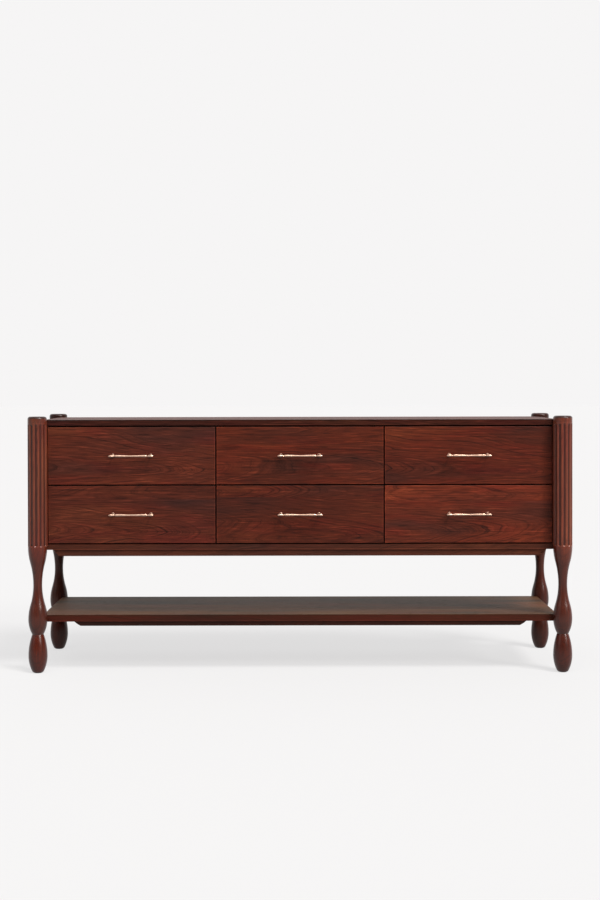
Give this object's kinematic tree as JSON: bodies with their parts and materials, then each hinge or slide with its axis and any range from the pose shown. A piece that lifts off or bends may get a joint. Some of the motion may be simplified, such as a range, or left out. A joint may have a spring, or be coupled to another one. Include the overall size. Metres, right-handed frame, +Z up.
{
  "type": "dresser",
  "caption": "Low wide dresser with drawers side by side in two rows, bar pulls, turned and fluted posts at the corners and an open shelf between the legs.",
  "frame": {"origin": "on the floor, under the middle of the case", "axes": "+X to the viewer's right, the drawer fronts face -Y, +Z up"},
  "size_m": [1.829, 0.508, 0.861],
  "materials": {
    "stained_oak": "dark red-brown stain over open-grained hardwood, semi-gloss lacquer",
    "stained_back": "stained plywood, satin",
    "drawer_birch": "clear satin lacquer over pale solid wood and ply",
    "pull_brass": "turned, polished and lacquered",
    "slide_steel": "bright zinc plate",
    "glide_plastic": "moulded, matt"
  },
  "bodies": {
    "case": {"leg_front_left": "stained_oak", "leg_front_right": "stained_oak", "leg_rear_right": "stained_oak", "leg_rear_left": "stained_oak", "top_panel": "stained_oak", "shelf_panel": "stained_oak", "case_bottom": "stained_oak", "side_panel_left": "stained_oak", "side_panel_right": "stained_oak", "divider_left": "stained_oak", "divider_right": "stained_oak", "case_apron_front": "stained_oak", "case_apron_rear": "stained_oak", "shelf_apron_front": "stained_oak", "shelf_apron_rear": "stained_oak", "back_panel": "stained_back", "leg_glides": "glide_plastic", "fixed_slides": "slide_steel"},
    "drawer_lower_left": {"drawer_front_lower_left": "stained_oak", "pull_lower_left": "pull_brass", "drawer_sides_lower_left": "drawer_birch", "drawer_ends_lower_left": "drawer_birch", "drawer_bottom_lower_left": "drawer_birch", "drawer_slides_lower_left": "slide_steel"},
    "slide_members_lower_left": {"middle_slides_lower_left": "slide_steel"},
    "drawer_lower_middle": {"drawer_front_lower_middle": "stained_oak", "pull_lower_middle": "pull_brass", "drawer_sides_lower_middle": "drawer_birch", "drawer_ends_lower_middle": "drawer_birch", "drawer_bottom_lower_middle": "drawer_birch", "drawer_slides_lower_middle": "slide_steel"},
    "slide_members_lower_middle": {"middle_slides_lower_middle": "slide_steel"},
    "drawer_lower_right": {"drawer_front_lower_right": "stained_oak", "pull_lower_right": "pull_brass", "drawer_sides_lower_right": "drawer_birch", "drawer_ends_lower_right": "drawer_birch", "drawer_bottom_lower_right": "drawer_birch", "drawer_slides_lower_right": "slide_steel"},
    "slide_members_lower_right": {"middle_slides_lower_right": "slide_steel"},
    "drawer_upper_left": {"drawer_front_upper_left": "stained_oak", "pull_upper_left": "pull_brass", "drawer_sides_upper_left": "drawer_birch", "drawer_ends_upper_left": "drawer_birch", "drawer_bottom_upper_left": "drawer_birch", "drawer_slides_upper_left": "slide_steel"},
    "slide_members_upper_left": {"middle_slides_upper_left": "slide_steel"},
    "drawer_upper_middle": {"drawer_front_upper_middle": "stained_oak", "pull_upper_middle": "pull_brass", "drawer_sides_upper_middle": "drawer_birch", "drawer_ends_upper_middle": "drawer_birch", "drawer_bottom_upper_middle": "drawer_birch", "drawer_slides_upper_middle": "slide_steel"},
    "slide_members_upper_middle": {"middle_slides_upper_middle": "slide_steel"},
    "drawer_upper_right": {"drawer_front_upper_right": "stained_oak", "pull_upper_right": "pull_brass", "drawer_sides_upper_right": "drawer_birch", "drawer_ends_upper_right": "drawer_birch", "drawer_bottom_upper_right": "drawer_birch", "drawer_slides_upper_right": "slide_steel"},
    "slide_members_upper_right": {"middle_slides_upper_right": "slide_steel"}
  },
  "joints": [
    {"name": "drawer_slide_lower_left", "type": "slide", "parent": "case", "child": "drawer_lower_left", "axis": [0, -1, 0], "range_m": [0, 0.35]},
    {"name": "member_slide_lower_left", "type": "slide", "parent": "case", "child": "slide_members_lower_left", "axis": [0, -1, 0], "range_m": [0, 0.175]},
    {"name": "drawer_slide_lower_middle", "type": "slide", "parent": "case", "child": "drawer_lower_middle", "axis": [0, -1, 0], "range_m": [0, 0.35]},
    {"name": "member_slide_lower_middle", "type": "slide", "parent": "case", "child": "slide_members_lower_middle", "axis": [0, -1, 0], "range_m": [0, 0.175]},
    {"name": "drawer_slide_lower_right", "type": "slide", "parent": "case", "child": "drawer_lower_right", "axis": [0, -1, 0], "range_m": [0, 0.35]},
    {"name": "member_slide_lower_right", "type": "slide", "parent": "case", "child": "slide_members_lower_right", "axis": [0, -1, 0], "range_m": [0, 0.175]},
    {"name": "drawer_slide_upper_left", "type": "slide", "parent": "case", "child": "drawer_upper_left", "axis": [0, -1, 0], "range_m": [0, 0.35]},
    {"name": "member_slide_upper_left", "type": "slide", "parent": "case", "child": "slide_members_upper_left", "axis": [0, -1, 0], "range_m": [0, 0.175]},
    {"name": "drawer_slide_upper_middle", "type": "slide", "parent": "case", "child": "drawer_upper_middle", "axis": [0, -1, 0], "range_m": [0, 0.35]},
    {"name": "member_slide_upper_middle", "type": "slide", "parent": "case", "child": "slide_members_upper_middle", "axis": [0, -1, 0], "range_m": [0, 0.175]},
    {"name": "drawer_slide_upper_right", "type": "slide", "parent": "case", "child": "drawer_upper_right", "axis": [0, -1, 0], "range_m": [0, 0.35]},
    {"name": "member_slide_upper_right", "type": "slide", "parent": "case", "child": "slide_members_upper_right", "axis": [0, -1, 0], "range_m": [0, 0.175]}
  ],
  "couplings": [
    {"joint": "member_slide_lower_left", "follows": "drawer_slide_lower_left", "ratio": 0.5},
    {"joint": "member_slide_lower_middle", "follows": "drawer_slide_lower_middle", "ratio": 0.5},
    {"joint": "member_slide_lower_right", "follows": "drawer_slide_lower_right", "ratio": 0.5},
    {"joint": "member_slide_upper_left", "follows": "drawer_slide_upper_left", "ratio": 0.5},
    {"joint": "member_slide_upper_middle", "follows": "drawer_slide_upper_middle", "ratio": 0.5},
    {"joint": "member_slide_upper_right", "follows": "drawer_slide_upper_right", "ratio": 0.5}
  ]
}
